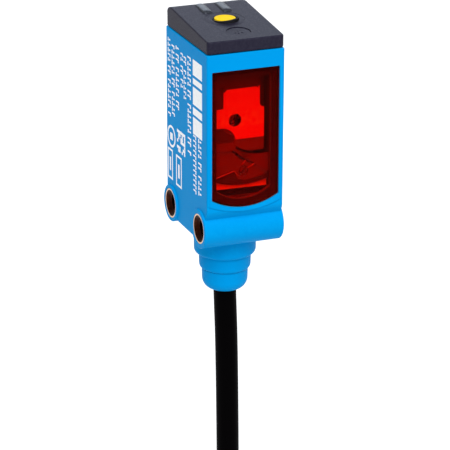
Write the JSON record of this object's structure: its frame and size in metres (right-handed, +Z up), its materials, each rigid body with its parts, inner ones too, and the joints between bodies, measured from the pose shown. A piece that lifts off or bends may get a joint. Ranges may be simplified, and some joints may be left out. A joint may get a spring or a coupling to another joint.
{
  "type": "miniature photoelectric sensor",
  "caption": "Miniature block photoelectric sensor with red front window, sloped control cover with teach button and light pipes, threaded cross inserts and a short cable ending in a round plug.",
  "frame": {"origin": "on the symmetry plane, midway between the axes of the two cross inserts that hold the sensor on its bracket", "axes": "+Z up through the control cover, -Y out of the red window along the light beam, +X to the object's right side along the inserts"},
  "size_m": [0.0145, 0.0179, 0.1817],
  "materials": {
    "body_blue": "satin moulded",
    "cover_black": "fine-textured moulded",
    "seal_black": "matt",
    "button_yellow": "satin",
    "pipe_smoke": "smoked, polished",
    "window_red": "polished red",
    "insert_brass": "machined",
    "clamp_brass": "machined",
    "plate_white": "satin",
    "optics_dark": "matt moulded",
    "clear_lens": "polished",
    "laser_gold": "gold-plated",
    "board_green": "solder mask",
    "flex_amber": "polyimide film",
    "chip_black": "moulded",
    "can_tin": "tinned",
    "lamp_green": "clear resin",
    "lamp_yellow": "clear resin",
    "cable_black": "smooth jacket",
    "wire_brown": "insulation",
    "wire_white": "insulation",
    "wire_blue": "insulation",
    "wire_black": "insulation",
    "ring_nickel": "nickel-plated",
    "pin_gold": "gold-plated"
  },
  "bodies": {
    "sensor": {"housing": "body_blue", "cable_collar": "body_blue", "top_cover": "cover_black", "cover_gasket": "seal_black", "button_seal": "seal_black", "window_bond": "seal_black", "light_pipe_left": "pipe_smoke", "light_pipe_right": "pipe_smoke", "front_window": "window_red", "thread_insert_front": "insert_brass", "thread_insert_rear": "insert_brass", "cable_clamp": "clamp_brass", "lens_barrel": "clamp_brass", "aperture_plate": "plate_white", "lens_tray": "plate_white", "optics_carrier": "optics_dark", "receiver_lens": "optics_dark", "collimator_lens": "clear_lens", "filter_film": "clear_lens", "laser_can": "laser_gold", "display_board": "board_green", "main_board": "board_green", "receiver_board": "board_green", "flex_strap": "flex_amber", "board_tail": "flex_amber", "switch_body": "chip_black", "processor_chip": "chip_black", "output_driver": "chip_black", "supply_regulator": "chip_black", "photodiode": "chip_black", "pin_carrier": "chip_black", "shield_can": "can_tin", "carrier_screw": "can_tin", "lamp_green": "lamp_green", "lamp_yellow": "lamp_yellow", "cable_jacket": "cable_black", "plug_grip": "cable_black", "wire_brown": "wire_brown", "wire_white": "wire_white", "wire_blue": "wire_blue", "wire_black": "wire_black", "contact_pin_1": "pin_gold", "contact_pin_2": "pin_gold", "contact_pin_3": "pin_gold", "contact_pin_4": "pin_gold"},
    "button": {"teach_button": "button_yellow", "switch_plunger": "plate_white"},
    "coupling": {"plug_ring": "ring_nickel"}
  },
  "joints": [
    {"name": "button_press", "type": "slide", "parent": "sensor", "child": "button", "axis": [0, 0, -1], "range_m": [0, 0.00025], "stiffness_N_per_m": 800},
    {"name": "ring_turn", "type": "hinge", "parent": "sensor", "child": "coupling", "pos_m": [0.0009, -0.0008, -0.1412], "axis": [0, 0, 1], "continuous": true}
  ]
}
